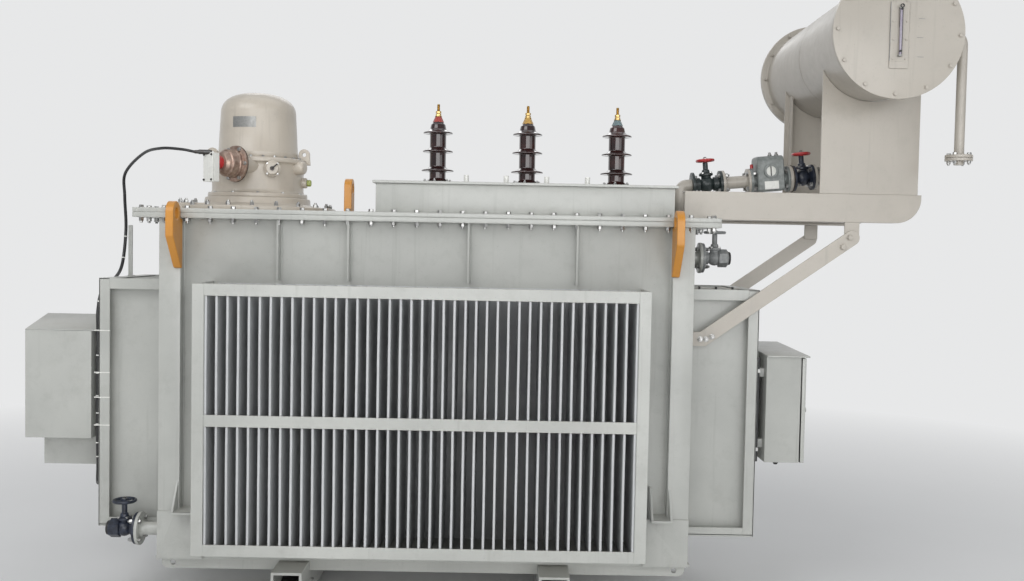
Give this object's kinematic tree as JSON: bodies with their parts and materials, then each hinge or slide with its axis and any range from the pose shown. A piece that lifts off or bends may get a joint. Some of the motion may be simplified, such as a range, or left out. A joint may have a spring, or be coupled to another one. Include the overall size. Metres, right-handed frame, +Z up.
{
  "type": "power transformer",
  "caption": "Oil-filled power transformer with finned cooling walls, roof bushings, on-load tap changer, raised oil conservator, valves, lifting lugs and control boxes, on rollers.",
  "frame": {"origin": "on the floor under the rollers, below the middle of the overall length and width", "axes": "+X along the tank towards the conservator, +Y away from the side that the picture shows, +Z up"},
  "size_m": [4.2484, 1.5, 2.8825],
  "materials": {
    "light_grey_paint": "satin light grey paint",
    "warm_grey_paint": "satin warm grey paint",
    "orange_paint": "satin orange-yellow paint",
    "brown_porcelain": "dark brown glazed porcelain",
    "brass": "turned brass",
    "dark_blue_paint": "dark blue-black paint on cast iron",
    "red_paint": "red paint",
    "relay_grey_paint": "mid grey paint on cast metal",
    "cast_metal": "bare cast metal",
    "dark_steel": "dark steel",
    "gauge_white": "white enamel",
    "black_conduit": "black plastic conduit"
  },
  "bodies": {
    "transformer": {"roller_carrier_left": "light_grey_paint", "roller_carrier_right": "light_grey_paint", "roller_front_left": "dark_steel", "roller_back_left": "dark_steel", "roller_front_right": "dark_steel", "roller_back_right": "dark_steel", "base_beam_front": "light_grey_paint", "base_beam_back": "light_grey_paint", "tank": "light_grey_paint", "cover": "light_grey_paint", "corner_post_front_left": "light_grey_paint", "corner_post_front_right": "light_grey_paint", "corner_post_back_left": "light_grey_paint", "corner_post_back_right": "light_grey_paint", "lifting_lug_front_left": "orange_paint", "lifting_lug_front_right": "orange_paint", "lifting_lug_back_left": "orange_paint", "lifting_lug_back_right": "orange_paint", "cover_lug": "orange_paint", "fin_bank_front": "light_grey_paint", "fin_bank_back": "light_grey_paint", "fin_bank_left": "light_grey_paint", "fin_bank_right": "light_grey_paint", "turret": "light_grey_paint", "turret_lid": "light_grey_paint", "bushing_left": "brown_porcelain", "bushing_middle": "brown_porcelain", "bushing_right": "brown_porcelain", "terminal_left": "brass", "terminal_middle": "brass", "terminal_right": "brass", "tap_changer_base": "warm_grey_paint", "tap_changer_head": "warm_grey_paint", "tap_changer_dome": "warm_grey_paint", "relief_valve": "cast_metal", "conservator_drum": "warm_grey_paint", "conservator_end_front": "warm_grey_paint", "conservator_end_back": "warm_grey_paint", "conservator_leg_front": "warm_grey_paint", "conservator_leg_back": "warm_grey_paint", "conservator_beam_front": "warm_grey_paint", "conservator_beam_back": "warm_grey_paint", "conservator_strut_front": "warm_grey_paint", "conservator_strut_back": "warm_grey_paint", "oil_level_gauge": "gauge_white", "breather_pipe": "warm_grey_paint", "oil_valve_low": "dark_blue_paint", "gas_relay": "relay_grey_paint", "oil_valve_high": "dark_blue_paint", "oil_riser_pipe": "warm_grey_paint", "filter_valve": "relay_grey_paint", "drain_valve": "dark_blue_paint", "drive_cabinet": "light_grey_paint", "marshalling_box": "light_grey_paint", "control_cable": "black_conduit"},
    "low_oil_wheel": {"oil_valve_wheel_low": "red_paint"},
    "high_oil_wheel": {"oil_valve_wheel_high": "red_paint"},
    "filter_wheel": {"filter_valve_wheel": "dark_blue_paint"},
    "drain_wheel": {"drain_valve_wheel": "dark_blue_paint"},
    "box_door": {"marshalling_door": "light_grey_paint"}
  },
  "joints": [
    {"name": "low_oil_wheel_turn", "type": "hinge", "parent": "transformer", "child": "low_oil_wheel", "pos_m": [1.06615, 0, 2.09462], "axis": [-0.0872, 0, 0.9962], "range_deg": [0, 1080]},
    {"name": "high_oil_wheel_turn", "type": "hinge", "parent": "transformer", "child": "high_oil_wheel", "pos_m": [1.53337, 0, 2.13549], "axis": [-0.0872, 0, 0.9962], "range_deg": [0, 1080]},
    {"name": "filter_wheel_turn", "type": "hinge", "parent": "transformer", "child": "filter_wheel", "pos_m": [1.12405, 0, 1.745], "axis": [0, 0, 1], "range_deg": [0, 1080]},
    {"name": "drain_wheel_turn", "type": "hinge", "parent": "transformer", "child": "drain_wheel", "pos_m": [-1.60655, -0.395, 0.471], "axis": [0, 0, 1], "range_deg": [0, 1080]},
    {"name": "box_door_hinge", "type": "hinge", "parent": "transformer", "child": "box_door", "pos_m": [1.49375, 0.259, 0.9], "axis": [0, 0, 1], "range_deg": [0, 110]}
  ]
}
